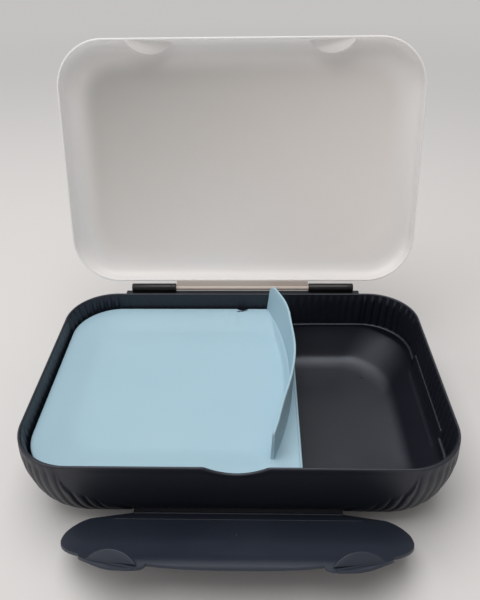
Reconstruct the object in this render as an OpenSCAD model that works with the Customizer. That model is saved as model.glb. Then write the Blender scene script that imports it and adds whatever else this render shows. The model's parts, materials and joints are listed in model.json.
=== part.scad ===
/* [Tub] */
// Width of the tub over the rim
tub_w = 255; // [230:1:280]
// Depth of the tub over the rim, front to rear
tub_d = 172; // [160:1:190]
// Height of the tub from the base to the rim
tub_h = 57; // [54:1:62]
// Plan radius of the four corners
corner_r = 33; // [30:1:36]
// How far the base lies in from the rim all round
base_inset = 41; // [32:1:44]
// Squareness of the hull curve, larger is boxier
hull_power = 3.1; // [2.8:0.1:3.6]
// Wall thickness at the rim
wall = 1.6; // [1.4:0.1:2]
// Thickness of the floor
floor_t = 2.2; // [1.8:0.1:3]
// How far the ribbed skin swells out under the rim
hull_bulge = 0.7; // [0.2:0.1:0.9]

/* [Flutes] */
// Flutes round each corner
corner_flutes = 9; // [7:1:10]
// Flutes along each end
end_flutes = 18; // [14:1:20]
// Flutes on the front beside each corner
front_flutes = 3; // [3:1:4]
// Depth of a flute outside
flute_depth = 0.9; // [0.5:0.1:1.1]
// Depth of a flute inside
inner_flute_depth = 0.5; // [0.2:0.1:0.7]

/* [Inside of the tub] */
// Depth of the ledge below the rim
ledge_depth = 26; // [24:1:27]
// Inset of the ledge's outer edge from the rim line
ledge_outer = 2.8; // [2.6:0.1:3.2]
// Inset of the ledge's inner edge from the rim line
ledge_inner = 5.8; // [5.5:0.1:6.6]
// Half length of the niche in the ledge at each end
niche_half = 42; // [30:1:48]
// How far the niche rises above the ledge
niche_rise = 6; // [3:1:8]
// Squareness of the bowl's curve
bowl_power = 2.6; // [2.4:0.1:3]

/* [Thumb notch] */
// Width of the thumb notch in the front rim
notch_w = 36; // [26:1:44]
// Depth of the thumb notch
notch_d = 5; // [2:0.5:6]

/* [Lid] */
// Height of the lid over the rim
lid_h = 12.8; // [12.4:0.1:16]
// Wall thickness of the lid
lid_t = 1.3; // [1:0.1:1.6]
// How far the lid stands out past the rim
lid_over = 0.7; // [0.4:0.1:1]
// Gap between the rim and the shut lid
lid_gap = 0.3; // [0.3:0.05:0.6]
// How far the lid stands open from shut, in degrees
lid_open = 103.6; // [90:0.1:110]

/* [Rear hinge] */
// Distance of the hinge axis behind the tub's rear rim
axis_back = 6.3; // [6:0.1:7.5]
// Height of the hinge axis over the rim
axis_up = 0.8; // [0.4:0.1:1.2]
// Radius of the lid's hinge pins
pin_r = 1.8; // [1.5:0.1:2]
// Radial running clearance of the pins
pin_clear = 0.06; // [0.03:0.01:0.1]
// Outside radius of a hinge clip
clip_r = 3.4; // [3.1:0.1:3.6]
// Width of a hinge clip
clip_w = 34; // [26:1:38]
// Distance from the middle to a clip's inner end
clip_x = 51; // [45:1:54]
// Thickness of the lid's hinge flange
flange_t = 2; // [1.6:0.1:2.4]

/* [Latch flap] */
// Half length of the flap's hinge line
flap_hinge_half = 62; // [54:1:64]
// Half width of the flap over its rounded ends
flap_half = 97; // [94:0.5:98]
// Thickness of the flap
flap_t = 1.5; // [1.4:0.1:2]
// How far the flap hangs open from shut, in degrees
flap_open = 51; // [45:1:56]
// Height of the shut flap's upper edge over the rim
flap_top = 8.8; // [8:0.2:10]
// How far the flap's upper edge flares out
flap_flare = 2.6; // [2:0.2:3.4]
// Distance of each hook from the middle
hook_x = 62.5; // [58:0.5:66]
// Width of a hook
hook_w = 28; // [24:1:29]
// Reach of a hook over the lid
hook_reach = 5.8; // [5:0.1:7]
// Thickness of a hook
hook_t = 1.6; // [1.4:0.1:2]
// Slope of a hook, falling outwards, in degrees
hook_slope = 12; // [6:1:13]
// How far the finger lips stand past the flap's edge
lip_reach = 7.2; // [6:0.2:7.6]

/* [Insert] */
// Depth of the insert's flat top below the rim
insert_depth = 11.5; // [10:0.5:13]
// Where the insert's straight right edge lies
insert_right = 37; // [30:1:44]
// Wall thickness of the insert
insert_t = 1.5; // [1.2:0.1:1.8]
// Depth of the dished recess
dish_depth = 5; // [4:0.5:6.5]
// Height of the divider fin
fin_h = 22; // [12:0.5:22]
// Thickness of the fin at its foot
fin_t = 1.9; // [1.5:0.1:2.2]
// How far the fin leans over towards the bowl
fin_lean = 1.5; // [0:0.5:3]
// Plan radius of the fin's bow
fin_bow = 209; // [200:1:220]

/* [Hidden] */
$fn = 48;
eps = 0.01;

navy = [0.12, 0.14, 0.19];
clip_black = [0.09, 0.09, 0.1];
flap_navy = [0.14, 0.17, 0.23];
frosted = [0.82, 0.81, 0.8, 0.8];
pale_blue = [0.62, 0.75, 0.81];

// ---------- shared curves ----------

function mix(a, b, t) = a + (b - a) * t;
function clamp01(t) = max(0, min(1, t));
function smooth(a, b, v) = let (t = clamp01((v - a) / (b - a))) t * t * (3 - 2 * t);
// Superellipse quarter: 0 at the top of a wall, 1 where it meets the base
function curve_in(t, power) = t >= 1 ? 1 : 1 - pow(1 - pow(t, power), 1 / power);
function hull_inset(z) = base_inset * curve_in(clamp01((tub_h - z) / tub_h), hull_power);

// ---------- stations round the tub ----------

// A station is [side, place, groove]: sides 0 to 3 are the right end, the rear, the
// left end and the front, 4 to 7 are the corners that follow them, place runs from -1
// to 1 along a side and from 0 to 1 round a corner, and groove is 1 in a flute.
points_per_flute = 3;
function end_stations(side) = let (n = end_flutes * points_per_flute)
    [for (j = [0 : n - 1]) [side, -1 + 2 * j / n, groove_at(j)]];
function corner_stations(corner) = let (n = corner_flutes * points_per_flute)
    [for (j = [0 : n - 1]) [corner, j / n, groove_at(j)]];
function groove_at(j) = j % points_per_flute == points_per_flute - 1 ? 1 : 0;

rim_half_w = tub_w / 2;
rim_half_d = tub_d / 2;
front_straight = rim_half_w - corner_r;
flute_pitch = 2 * (rim_half_d - corner_r) / end_flutes;
front_fluted = front_flutes * flute_pitch;
notch_steps = 4;
bare_steps = 3;
rear_steps = 9;
hinge_margin = 4;
rear_stations = [for (j = [0 : rear_steps - 1]) [1, -1 + 2 * j / rear_steps, 0]];
front_left_flutes = [
    for (j = [0 : front_flutes * points_per_flute - 1])
        [3, -1 + j * flute_pitch / points_per_flute / front_straight, groove_at(j)]
];
// Places along the smooth front: its bare stretches and the notch between them
bare_left = [for (k = [0 : bare_steps - 1]) mix(-flap_hinge_half, -notch_w / 2, k / bare_steps)];
front_middle_x = concat(
    [-front_straight + front_fluted, -flap_hinge_half - hinge_margin], bare_left,
    [for (k = [-notch_steps : notch_steps]) k * notch_w / 2 / notch_steps],
    [for (k = [bare_steps - 1 : -1 : 0]) -bare_left[k]], [flap_hinge_half + hinge_margin]
);
front_middle = [for (x = front_middle_x) [3, x / front_straight, 0]];
front_right_flutes = [
    for (j = [0 : front_flutes * points_per_flute - 1])
        [3, 1 - (front_fluted - j * flute_pitch / points_per_flute) / front_straight,
            j % points_per_flute == 1 ? 1 : 0]
];
stations = concat(
    end_stations(0), corner_stations(4), rear_stations, corner_stations(5),
    end_stations(2), corner_stations(6),
    front_left_flutes, front_middle, front_right_flutes, corner_stations(7)
);
n_stations = len(stations);

// Outward direction and place of a station on the outline that lies inset from the rim
function normal_of(s) =
    s[0] == 0 ? [1, 0] : s[0] == 1 ? [0, 1] : s[0] == 2 ? [-1, 0] : s[0] == 3 ? [0, -1] :
    let (a = (s[0] - 4 + s[1]) * 90) [cos(a), sin(a)];
function outline_point(s, inset) =
    let (hw = rim_half_w - inset, hd = rim_half_d - inset, r = corner_r)
    s[0] == 0 ? [hw, s[1] * (hd - r)] :
    s[0] == 1 ? [-s[1] * (hw - r), hd] :
    s[0] == 2 ? [-hw, -s[1] * (hd - r)] :
    s[0] == 3 ? [s[1] * (hw - r), -hd] :
    let (
        k = s[0] - 4, sx = (k == 0 || k == 3) ? 1 : -1, sy = k < 2 ? 1 : -1,
        a = (k + s[1]) * 90
    )
    [sx * (hw - r) + r * cos(a), sy * (hd - r) + r * sin(a)];

// ---------- the smooth front panel and the shut flap's shape ----------

flap_axis_z = 8.3;
panel_margin = 1.5;
panel_rise = 28;
panel_curve = 0.55;
panel_end_rise = 14;
panel_end_power = 16;
// Lower edge of the panel, level under the hinge and rising to the ends
function panel_low(x) = let (
        u = clamp01((abs(x) - flap_hinge_half) / (flap_half + panel_margin - flap_hinge_half))
    )
    u <= 0 ? flap_axis_z - panel_margin :
    flap_axis_z + panel_rise * pow(u, panel_curve) + panel_end_rise * pow(u, panel_end_power);
function on_panel(x, z) = abs(x) > flap_half + panel_margin ? 0 :
    smooth(-panel_margin, panel_margin, z - panel_low(x));
panel_depth_top = 0.5;
panel_depth_low = 1.9;
panel_shallow = [12, 26];
function panel_depth(z) =
    mix(panel_depth_low, panel_depth_top, smooth(panel_shallow[0], panel_shallow[1], z));

// ---------- tub ----------

// Shares of the height, from the rim down, where the flutes begin and end
rim_band = 0.03;
flute_begin = 0.13;
flute_end = [0.88, 0.97];
bulge_reach = 0.45;
function flute_fade(t) =
    smooth(rim_band, flute_begin, t) * (1 - smooth(flute_end[0], flute_end[1], t));
function bulge(t) = hull_bulge * sin(180 * min(t / bulge_reach, 1));
function notch_drop(s, inset) = s[0] != 3 ? 0 :
    let (x = abs(outline_point(s, inset)[0]), u = x / (notch_w / 2))
    u >= 1 ? 0 : notch_d * (1 - u * u);
notch_reach = 0.35;
inner_notch_reach = 0.75;

function outer_point(s, t) =
    let (
        z = tub_h * (1 - t),
        base = outline_point(s, hull_inset(z)),
        front = s[0] == 3 || s[0] == 6 || s[0] == 7 ? (base[1] < 0 ? on_panel(base[0], z) : 0) : 0,
        out = bulge(t) * (1 - front) - flute_depth * s[2] * flute_fade(t) * (1 - front)
            - panel_depth(z) * front * smooth(0, rim_band, t),
        p = base + normal_of(s) * out
    )
    [p[0], p[1], z - notch_drop(s, 0) * clamp01(1 - t / notch_reach)];

// The ledge rises into a niche at the right end, the end the insert leaves free
niche_ease = 8;
niche_lip = 1;
niche_open = 0.5;
// Shares of the bowl's depth over which the niche's floor and mouth fade out
niche_floor_fade = 0.3;
niche_mouth_fade = 0.45;
inner_flute_begin = 0.3;
function niche(s) = s[0] == 0 ?
    1 - smooth(niche_half - niche_ease, niche_half, abs(s[1]) * (rim_half_d - corner_r)) : 0;
ledge_z = tub_h - ledge_depth;
bowl_reach = base_inset - ledge_inner + floor_t;

// Inside wall from the rim down to the ledge, ribbed in step with the outside
function wall_point(s, t) =
    let (
        z = mix(tub_h, ledge_z + niche_rise * niche(s), t),
        groove = s[0] == 3 ? 0 : s[2] * smooth(0, inner_flute_begin, t),
        inset = mix(wall, ledge_outer, t) + inner_flute_depth * groove,
        p = outline_point(s, inset)
    )
    [p[0], p[1], z - notch_drop(s, 0) * clamp01(1 - t / inner_notch_reach)];
// Smooth bowl from the ledge's inner edge down to the floor
function bowl_point(s, u) =
    let (
        open = niche(s) * (1 - smooth(0, niche_mouth_fade, u)),
        top = ledge_z + (niche_rise - niche_lip) * niche(s) * (1 - smooth(0, niche_floor_fade, u)),
        z = mix(top, floor_t, u),
        edge = mix(ledge_inner, ledge_outer + niche_open, open),
        inset = edge + bowl_reach * curve_in(u, bowl_power),
        p = outline_point(s, inset)
    )
    [p[0], p[1], z];

outer_rings = [0.94, 0.86, 0.76, 0.6, 0.35, 0.13, 0.035, 0];
wall_rings = [1, 0];
bowl_rings = [1, 0.955, 0.86, 0.66, 0.3, 0];
// Every third station, for the smooth floor and base
smooth_stations = [for (j = [0 : points_per_flute : n_stations - 1]) stations[j]];

// Faces between a lower and an upper ring of the same count
function even_band(a, b, n) = [
    for (j = [0 : n - 1]) let (k = (j + 1) % n)
        each [[a + j, b + k, a + k], [a + j, b + j, b + k]]
];
// Faces where a fine lower ring, from f, meets a coarse upper ring, from c
function closing_band(f, c, n) = [
    for (j = [0 : n - 1])
        let (c0 = c + j, c1 = c + (j + 1) % n, f0 = f + 3 * j, f3 = f + (3 * j + 3) % (3 * n))
        each [[f0, c0, f0 + 1], [f0 + 1, c0, f0 + 2], [f0 + 2, c0, c1], [f0 + 2, c1, f3]]
];
// Faces where a coarse lower ring, from c, meets a fine upper ring, from f
function opening_band(c, f, n) = [
    for (j = [0 : n - 1])
        let (c0 = c + j, c1 = c + (j + 1) % n, f0 = f + 3 * j, f3 = f + (3 * j + 3) % (3 * n))
        each [[c0, f0, f0 + 1], [c0, f0 + 1, f0 + 2], [c0, f0 + 2, c1], [c1, f0 + 2, f3]]
];
function band(a, na, b, nb) =
    na == nb ? even_band(a, b, na) : na > nb ? closing_band(a, b, nb) : opening_band(a, b, na);

// Closed solid from rings of points: bands between them and a fan over each end. A ring
// may have a third of the points of its neighbour.
function middle_of(ring) = let (n = len(ring))
    [for (k = [0 : 2]) [for (p = ring) p[k]] * [for (p = ring) 1 / n]];
module ring_solid(rings) {
    m = len(rings);
    start = [for (k = 0, at = 0; k < m; at = at + len(rings[k]), k = k + 1) at];
    points = concat([for (r = rings) each r], [middle_of(rings[0]), middle_of(rings[m - 1])]);
    bands = [
        for (k = [0 : m - 2])
            each band(start[k], len(rings[k]), start[k + 1], len(rings[k + 1]))
    ];
    low = len(points) - 2;
    first = len(rings[0]);
    last = len(rings[m - 1]);
    caps = concat(
        [for (j = [0 : first - 1]) [low, j, (j + 1) % first]],
        [for (j = [0 : last - 1]) [low + 1, start[m - 1] + (j + 1) % last, start[m - 1] + j]]
    );
    polyhedron(points = points, faces = concat(bands, caps), convexity = 6);
}

module tub() {
    base = [for (s = smooth_stations) outer_point(s, 1)];
    outside = [for (t = outer_rings) [for (s = stations) outer_point(s, t)]];
    inside = [for (t = wall_rings) [for (s = stations) wall_point(s, 1 - t)]];
    bowl = [for (k = [len(bowl_rings) - 1 : -1 : 0])
        [for (s = smooth_stations) bowl_point(s, bowl_rings[k])]];
    color(navy) ring_solid(concat([base], outside, inside, bowl));
}

// ---------- rear hinge ----------

axis_y = rim_half_d + axis_back;
axis_z = tub_h + axis_up;
shelf_t = 1.6;
shelf_end = 5;
shelf_half = clip_x + clip_w + shelf_end;
shelf_top = axis_z - clip_r;
shelf_front = rim_half_d + hull_bulge + eps;
shelf_rear = axis_y + clip_r / 2;
foot_h = 1.4;
cut = 1;

module hinge_shelf() {
    color(navy) translate([-shelf_half, shelf_front, shelf_top - shelf_t])
        cube([2 * shelf_half, shelf_rear - shelf_front, shelf_t]);
}
module hinge_clip(side) {
    x0 = side > 0 ? clip_x : -clip_x - clip_w;
    color(clip_black) difference() {
        union() {
            translate([x0, axis_y, axis_z]) rotate([0, 90, 0]) cylinder(h = clip_w, r = clip_r);
            translate([x0, shelf_front, shelf_top])
                cube([clip_w, shelf_rear - shelf_front, foot_h]);
        }
        translate([x0 - cut, axis_y, axis_z]) rotate([0, 90, 0])
            cylinder(h = clip_w + 2 * cut, r = pin_r + pin_clear);
    }
}
module hinge_clip_left() { hinge_clip(-1); }
module hinge_clip_right() { hinge_clip(1); }

// ---------- lid ----------

// Turns the shut lid, drawn in place on the rim, to where it stands open
module lid_pose() {
    translate([0, axis_y, axis_z]) rotate([-lid_open, 0, 0]) translate([0, -axis_y, -axis_z])
        children();
}
lid_low = tub_h + lid_gap;
lid_corner_steps = 8;
lid_stations = [for (k = [0 : 3]) for (j = [0 : lid_corner_steps]) [4 + k, j / lid_corner_steps]];
// Profile of the lid's skin: share of its height against distance in from its edge
lid_skin = [[0, 0], [0.25, 0.25], [0.55, 1.1], [0.8, 3.4], [0.93, 7.5], [0.98, 13], [1, 24]];
function lid_ring(inset, z) = [
    for (s = lid_stations)
        let (p = outline_point(s, 0), n = normal_of(s)) 
        [p[0] + n[0] * (lid_over - inset), p[1] + n[1] * (lid_over - inset), z]
];
module lid_dome(shrink, low, high) {
    rings = [for (k = lid_skin) lid_ring(shrink + k[1], low + k[0] * (high - low))];
    ring_solid(rings);
}
// Lens-shaped prism seen from above: a chord along the lid's front edge and an arc
module lens(width, reach, height) {
    r = (width * width / 4 + reach * reach) / (2 * reach);
    linear_extrude(height) intersection() {
        translate([0, reach - r]) circle(r, $fn = 96);
        translate([-width / 2, 0]) square([width, reach + cut]);
    }
}
pocket_play = 3.6;
pocket_side = 1.9;
pocket_rise = 4.4;
pocket_floor = lid_low + pocket_rise;
hook_z = pocket_floor + lid_gap;
// A hook's place on the shut box: its middle on the lid's edge line, its floor sloped
module at_hook(side, z) {
    translate([side * hook_x, -rim_half_d - lid_over, z]) rotate([0, side * hook_slope, 0])
        children();
}
module lid_pockets(grow, drop) {
    for (side = [-1, 1]) at_hook(side, pocket_floor - drop)
        translate([0, -cut, 0]) lens(
            hook_w + 2 * pocket_side + 2 * grow, hook_reach + pocket_play + cut + grow, lid_h
        );
}
module lid() {
    color(frosted) lid_pose() {
        difference() {
            lid_dome(0, lid_low, tub_h + lid_h);
            difference() {
                lid_dome(lid_t, lid_low - eps, tub_h + lid_h - lid_t);
                lid_pockets(lid_t, lid_t);
            }
            lid_pockets(0, 0);
        }
    }
}
flange_play = 0.6;
bar_play = 0.5;
bar_half = clip_x + clip_w - bar_play;
flange_half = clip_x - flange_play;
module lid_hinge_bar() {
    lid_edge = rim_half_d + lid_over;
    color(frosted) lid_pose() {
        translate([-bar_half, axis_y, axis_z]) rotate([0, 90, 0])
            cylinder(h = 2 * bar_half, r = pin_r);
        translate([-flange_half, lid_edge + eps, axis_z - flange_t / 2])
            cube([2 * flange_half, axis_y - lid_edge, flange_t]);
    }
}

// ---------- latch flap ----------

flap_axis_out = 2.4;
flap_axis_y = -rim_half_d + hull_inset(flap_axis_z) - flap_axis_out;
// The flap follows the hull, so its inner face is the panel's curve plus a gap, easing
// out past the lid's edge above the rim and flaring for the fingers at its upper edge
flap_gap = 0.45;
lid_clear = 0.4;
ease_under = 2;
flap_top_z = tub_h + flap_top;
face_over = 3;
face_top_z = flap_top_z + face_over;
flare_up = 2.5;
flare_z = tub_h + flare_up;
flare_power = 1.5;
function flare(z) =
    flap_flare * pow(clamp01((z - flare_z) / (flap_top_z - flare_z)), flare_power);
function flap_inner_y(z) = -rim_half_d + hull_inset(min(z, tub_h)) - flap_gap - flare(z)
    - (lid_over + lid_clear) * smooth(ledge_z, tub_h - ease_under, z);
crease_up = 5.3;
crease_z = flap_axis_z + crease_up;
flap_steps = [0, 0.08, 0.17, 0.28, 0.42, 0.6, 0.8, 0.87, 0.93, 1];
flap_face = concat(
    [[flap_axis_y, flap_axis_z]],
    [for (t = flap_steps) let (z = mix(crease_z, face_top_z, t)) [flap_inner_y(z), z]]
);
module flap_pose() {
    translate([0, flap_axis_y, flap_axis_z]) rotate([flap_open, 0, 0])
        translate([0, -flap_axis_y, -flap_axis_z]) children();
}
// Outline of the flap seen from the front, in X and Z of the shut box
lobe_r = 16.3;
lobe_x = flap_half - lobe_r;
lobe_drop = 28;
lobe_z = tub_h - lobe_drop;
shoulder_power = 2.5;
shoulder_steps = 36;
lip_out = 0.5;
lip_up = 1.7;
lip_place = [hook_x + lip_out, tub_h + lip_up];
lip_turn = 14;
lip_half = 19;
slot_half = 12;
slot_h = 0.9;
function shoulder(a) = [
    flap_half * sign(cos(a)) * pow(abs(cos(a)), 2 / shoulder_power),
    lobe_z + (flap_top_z - lobe_z) * pow(sin(a), 2 / shoulder_power)
];
module mould_slot(side) {
    translate([side * hook_x, hook_z + hook_t + slot_h]) rotate(-side * hook_slope)
        scale([slot_half, slot_h]) circle(1, $fn = 48);
}
// Radius of the rounded bead along the flap's lower edge, where it bends on its film
bead_r = 0.8;
module flap_outline() {
    difference() {
        union() {
            hull() {
                polygon([for (j = [0 : shoulder_steps]) shoulder(180 * j / shoulder_steps)]);
                for (side = [-1, 1]) translate([side * lobe_x, lobe_z]) circle(lobe_r, $fn = 64);
                translate([-flap_hinge_half, flap_axis_z])
                    square([2 * flap_hinge_half, bead_r]);
            }
            for (side = [-1, 1]) translate([side * lip_place[0], lip_place[1]])
                rotate(-side * lip_turn) scale([lip_half, lip_reach]) circle(1, $fn = 64);
        }
        mould_slot(-1);
        mould_slot(1);
    }
}
module flap_plate() {
    outside = [for (k = [len(flap_face) - 1 : -1 : 0]) flap_face[k] + [-flap_t, 0]];
    intersection() {
        translate([-flap_half - cut, 0, 0]) rotate([90, 0, 90])
            linear_extrude(2 * (flap_half + cut)) polygon(concat(flap_face, outside));
        rotate([90, 0, 0]) linear_extrude(tub_d) flap_outline();
    }
}
// A hook grows from within the flap's plate
hook_root = 0.4;
hook_short = 0.6;
module flap_hook(side) {
    at_hook(side, hook_z) translate([0, -flap_t - hook_root, 0])
        lens(hook_w, hook_reach + flap_t - hook_short, hook_t);
}
module latch_flap() {
    color(flap_navy) flap_pose() {
        flap_plate();
        flap_hook(-1);
        flap_hook(1);
        translate([-flap_hinge_half, flap_axis_y, flap_axis_z]) rotate([0, 90, 0])
            cylinder(h = 2 * flap_hinge_half, r = bead_r);
    }
}
film_t = 0.6;
film_front = flap_axis_y + bead_r + lid_gap;
film_rear = -rim_half_d + hull_inset(flap_axis_z) + panel_depth_low - flap_gap;
module film_hinge() {
    color(flap_navy) translate([-flap_hinge_half, film_front, flap_axis_z - film_t])
        cube([2 * flap_hinge_half, film_rear - film_front, film_t]);
}

// ---------- insert ----------

insert_z = tub_h - insert_depth;
insert_inset = 4.3;
insert_corner = 32;
insert_small_r = 4;
insert_least_r = 0.6;
dish_margin = 3;
dish_from_fin = 5;
fin_from_edge = 4;
fin_middle = 6.8;
insert_left = -rim_half_w + insert_inset;
insert_front = -rim_half_d + insert_inset;
insert_rear = rim_half_d - insert_inset;
module insert_plan(in) {
    hull() {
        for (y = [insert_front + insert_corner, insert_rear - insert_corner])
            translate([insert_left + insert_corner, y]) circle(insert_corner - in, $fn = 64);
        for (y = [insert_front + insert_small_r, insert_rear - insert_small_r])
            translate([insert_right - insert_small_r, y])
                circle(max(insert_small_r - in, insert_least_r), $fn = 24);
    }
}
fin_center = [insert_right - fin_from_edge - fin_bow, fin_middle];
module insert_tray() {
    skirt_h = insert_z - ledge_z;
    color(pale_blue) difference() {
        translate([0, 0, ledge_z]) linear_extrude(skirt_h) insert_plan(0);
        translate([0, 0, ledge_z - cut]) linear_extrude(skirt_h + cut - insert_t - dish_depth)
            insert_plan(insert_t);
        translate([0, 0, insert_z - dish_depth]) linear_extrude(dish_depth + cut)
            intersection() {
                insert_plan(insert_t + dish_margin);
                translate(fin_center) circle(fin_bow - dish_from_fin, $fn = 128);
            }
    }
}
fin_front_r = 3;
fin_rear_r = 7;
fin_front = -68.4;
fin_play = 0.1;
fin_rear = insert_rear - fin_play;
fin_turn = [-24, 24];
fin_taper = 0.8;
module fin_section() {
    polygon([
        [fin_bow, 0], [fin_bow + fin_t, 0],
        [fin_bow + fin_lean + fin_t * fin_taper, fin_h], [fin_bow + fin_lean, fin_h]
    ]);
}
module divider_fin() {
    color(pale_blue) intersection() {
        translate([fin_center[0], fin_center[1], insert_z])
            rotate([0, 0, fin_turn[0]])
                rotate_extrude(angle = fin_turn[1] - fin_turn[0], $fn = 256) fin_section();
        translate([0, 0, insert_z]) rotate([90, 0, 90]) linear_extrude(rim_half_w) hull() {
            translate([fin_front, 0]) square([fin_rear - fin_front, fin_h / 2]);
            translate([fin_front + fin_front_r, fin_h - fin_front_r]) circle(fin_front_r);
            translate([fin_rear - fin_rear_r, fin_h - fin_rear_r]) circle(fin_rear_r);
        }
    }
}

tub();
hinge_shelf();
hinge_clip_left();
hinge_clip_right();
film_hinge();
latch_flap();
lid();
lid_hinge_bar();
insert_tray();
divider_fin();
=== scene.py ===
import json
from math import asin, atan2, cos, pi, radians, sin
import bmesh
import bpy
from mathutils import Matrix, Vector


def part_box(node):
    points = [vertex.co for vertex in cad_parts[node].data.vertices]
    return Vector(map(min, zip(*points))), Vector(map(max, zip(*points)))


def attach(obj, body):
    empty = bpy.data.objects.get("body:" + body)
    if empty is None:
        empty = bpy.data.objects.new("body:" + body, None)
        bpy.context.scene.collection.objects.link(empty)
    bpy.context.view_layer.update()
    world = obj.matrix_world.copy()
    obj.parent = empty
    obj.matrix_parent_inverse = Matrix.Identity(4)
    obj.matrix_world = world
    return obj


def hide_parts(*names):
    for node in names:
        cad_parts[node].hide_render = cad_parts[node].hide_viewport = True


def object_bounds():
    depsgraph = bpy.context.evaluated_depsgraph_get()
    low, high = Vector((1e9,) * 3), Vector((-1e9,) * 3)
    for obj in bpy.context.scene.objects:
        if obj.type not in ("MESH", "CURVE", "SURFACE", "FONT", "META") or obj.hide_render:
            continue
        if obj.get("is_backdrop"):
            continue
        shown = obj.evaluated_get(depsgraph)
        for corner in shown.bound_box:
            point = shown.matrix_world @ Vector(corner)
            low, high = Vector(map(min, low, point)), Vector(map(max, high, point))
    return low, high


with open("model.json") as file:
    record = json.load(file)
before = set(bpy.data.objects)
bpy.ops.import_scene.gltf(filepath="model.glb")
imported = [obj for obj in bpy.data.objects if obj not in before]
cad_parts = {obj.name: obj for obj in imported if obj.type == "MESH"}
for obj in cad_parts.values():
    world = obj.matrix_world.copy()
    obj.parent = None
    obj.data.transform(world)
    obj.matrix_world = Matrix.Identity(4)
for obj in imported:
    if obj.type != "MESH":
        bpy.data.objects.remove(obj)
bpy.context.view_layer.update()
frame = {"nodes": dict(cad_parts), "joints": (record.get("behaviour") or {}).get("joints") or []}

# ---------------------------------------------------------------- tub
# The lower half of the box: one polypropylene moulding, drawn in to its base like a boat,
# with flutes round its ends and corners and a smooth panel at the front where the latch
# flap lies. It is swept ring by ring round the rim's outline.
tub_low, tub_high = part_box("tub")
TUB_HALF_W = 0.1275
TUB_HALF_D = 0.086
TUB_H = tub_high[2] - tub_low[2]
CORNER_R = 0.033
SIDE_STRAIGHT = TUB_HALF_D - CORNER_R
FRONT_STRAIGHT = TUB_HALF_W - CORNER_R
RIM_WALL = 0.0016
FLOOR_T = 0.0022
# The hull: how far it draws in at the base, how squarely it turns, how it swells under the rim
BASE_INSET = 0.041
HULL_POWER = 3.1
HULL_BULGE, BULGE_SHARE = 0.0007, 0.45
# The ledge that the tray rests on narrows past the tray's end. A niche opens over its right side
LEDGE_DEPTH = 0.026
LEDGE_OUTER = 0.0028
LEDGE_INNER, LEDGE_INNER_BOWL = 0.0058, 0.0045
LEDGE_ROUND = 0.0005
PAST_TRAY = (0.03, 0.06)
NICHE_HALF, NICHE_BLEND = 0.042, 0.003
NICHE_RISE = 0.006
NICHE_BACK = LEDGE_OUTER + 0.001
NICHE_FOOT = (0.25, 0.33)
NICHE_TOP = 0.3
# The bowl: a short upright step, a straight drafted wall, and a round turn into the floor
BOWL_POWER = 3.0
BOWL_STEP, BOWL_STEP_RIGHT = 0.05, 0.12
BOWL_DRAFT, BOWL_DRAFT_RIGHT = 0.0125, 0.0035
BOWL_RIGHT = (0.09, 0.12)
BOWL_WALL_FOOT = 0.93
BOWL_BLEND, BOWL_BLEND_OUT = 0.002, 0.8
# The finger notch in the front rim, fading down the wall
NOTCH_HALF = 0.018
NOTCH_DEPTH = 0.005
NOTCH_FADE_OUT, NOTCH_FADE_IN = 0.35, 0.75
# The smooth sunk panel at the front: its low edge rises from the film hinge to its ends
PANEL_HALF, PANEL_EDGE = 0.0985, 0.001
PANEL_FRONT_OF = -0.04
PANEL_FOOT, PANEL_EDGE_Z = 0.0015, 0.0012
PANEL_RISE, PANEL_RISE_POWER = 0.028, 0.55
PANEL_TURN, PANEL_TURN_POWER = 0.014, 16
PANEL_SUNK_LOW, PANEL_SUNK_HIGH = 0.0019, 0.0005
PANEL_SUNK_Z = (0.012, 0.026)
PANEL_FROM_RIM = 0.03
HINGE_HALF = 0.062
HINGE_Z = 0.0083
# The flutes: how many, how finely they are followed, and where along the wall they fade
END_FLUTES, CORNER_FLUTES, FRONT_FLUTES, REAR_FLUTES = 18, 9, 3, 34
FLUTE_PITCH = 2 * SIDE_STRAIGHT / END_FLUTES
POINTS_PER_FLUTE, REAR_POINTS_PER_FLUTE, PANEL_POINTS = 9, 5, 96
FLUTE_FROM, FLUTE_TO = (0.025, 0.12), (0.9, 0.98)
REAR_FLUTE_SHARE = 0.35
INNER_FLUTE_FROM, INNER_FLUTE_TO = (0.03, 0.2), (0.93, 1.0)
INNER_FLUTE_SHARE = {
    "front": 0.0, "rear": 0.4, "rear_left": 2.1, "rear_right": 2.1,
    "left": 0.4, "right": 1.0, "front_left": 1.0, "front_right": 1.0,
}


def ease(low, high, value):
    """A smooth step from 0 at low to 1 at high."""
    t = max(0.0, min(1.0, (value - low) / (high - low)))
    return t * t * (3 - 2 * t)


def mix(a, b, t):
    """The value a share t of the way from a to b."""
    return a + (b - a) * t


def superellipse_wall(t, power):
    """How far a wall has drawn in, t from 0 at its upright top to 1 at its flat foot."""
    return 1.0 if t >= 1 else 1 - (1 - max(t, 0.0) ** power) ** (1 / power)


def hull_inset(z):
    """How far the hull has drawn in from the rim at this height."""
    return BASE_INSET * superellipse_wall(min(1.0, max(0.0, (TUB_H - z) / TUB_H)), HULL_POWER)


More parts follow.
